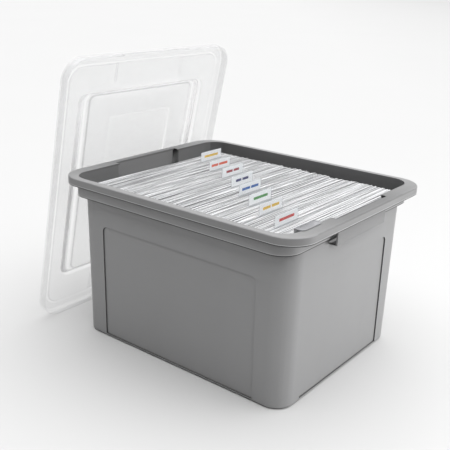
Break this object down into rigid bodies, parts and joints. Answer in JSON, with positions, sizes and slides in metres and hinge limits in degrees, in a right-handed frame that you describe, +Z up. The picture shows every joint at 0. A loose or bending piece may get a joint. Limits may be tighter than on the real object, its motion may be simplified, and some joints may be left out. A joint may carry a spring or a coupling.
{
  "type": "portable file box",
  "caption": "Open plastic file tote with hand grips under its rim, paper files standing behind staggered colour-coded index tabs, and a clear recessed lid leaning on one end.",
  "frame": {"origin": "middle of the underside of the tote's floor, on the surface it stands on", "axes": "+X along the tote's long side, away from the end that the lid leans on; +Y across the tote; +Z up"},
  "size_m": [0.5324, 0.397, 0.4689],
  "materials": {
    "tote_plastic": "fine satin grain",
    "clear_lid": "clear, lightly frosted",
    "divider_card": "smooth card",
    "clear_tab": "clear",
    "paper": "plain sheets",
    "insert_yellow": "printed bar on white",
    "insert_orange": "printed bar on white",
    "insert_dark_red": "printed bar on white",
    "insert_navy": "printed bar on white",
    "insert_blue": "printed bar on white",
    "insert_green": "printed bar on white",
    "insert_red": "printed bar on white"
  },
  "bodies": {
    "tote": {"tote_body": "tote_plastic"},
    "lid": {"lid": "clear_lid"},
    "file_1": {"divider_1": "divider_card", "tab_1": "clear_tab", "label_1": "insert_yellow", "papers_1": "paper"},
    "file_2": {"divider_2": "divider_card", "tab_2": "clear_tab", "label_2": "insert_orange", "papers_2": "paper"},
    "file_3": {"divider_3": "divider_card", "tab_3": "clear_tab", "label_3": "insert_dark_red", "papers_3": "paper"},
    "file_4": {"divider_4": "divider_card", "tab_4": "clear_tab", "label_4": "insert_navy", "papers_4": "paper"},
    "file_5": {"divider_5": "divider_card", "tab_5": "clear_tab", "label_5": "insert_blue", "papers_5": "paper"},
    "file_6": {"divider_6": "divider_card", "tab_6": "clear_tab", "label_6": "insert_green", "papers_6": "paper"},
    "file_7": {"divider_7": "divider_card", "tab_7": "clear_tab", "label_7": "insert_yellow", "papers_7": "paper"},
    "file_8": {"divider_8": "divider_card", "tab_8": "clear_tab", "label_8": "insert_red", "papers_8": "paper"},
    "front_file": {"front_papers": "paper", "blank_tab": "clear_tab"}
  },
  "joints": [
    {"name": "lid_lift", "type": "slide", "parent": "tote", "child": "lid", "axis": [0, 0, 1], "range_m": [0, 0.32]},
    {"name": "file_1_lift", "type": "slide", "parent": "tote", "child": "file_1", "axis": [0, 0, 1], "range_m": [0, 0.3]},
    {"name": "file_2_lift", "type": "slide", "parent": "tote", "child": "file_2", "axis": [0, 0, 1], "range_m": [0, 0.3]},
    {"name": "file_3_lift", "type": "slide", "parent": "tote", "child": "file_3", "axis": [0, 0, 1], "range_m": [0, 0.3]},
    {"name": "file_4_lift", "type": "slide", "parent": "tote", "child": "file_4", "axis": [0, 0, 1], "range_m": [0, 0.3]},
    {"name": "file_5_lift", "type": "slide", "parent": "tote", "child": "file_5", "axis": [0, 0, 1], "range_m": [0, 0.3]},
    {"name": "file_6_lift", "type": "slide", "parent": "tote", "child": "file_6", "axis": [0, 0, 1], "range_m": [0, 0.3]},
    {"name": "file_7_lift", "type": "slide", "parent": "tote", "child": "file_7", "axis": [0, 0, 1], "range_m": [0, 0.3]},
    {"name": "file_8_lift", "type": "slide", "parent": "tote", "child": "file_8", "axis": [0, 0, 1], "range_m": [0, 0.3]},
    {"name": "front_file_lift", "type": "slide", "parent": "tote", "child": "front_file", "axis": [0, 0, 1], "range_m": [0, 0.3]}
  ]
}
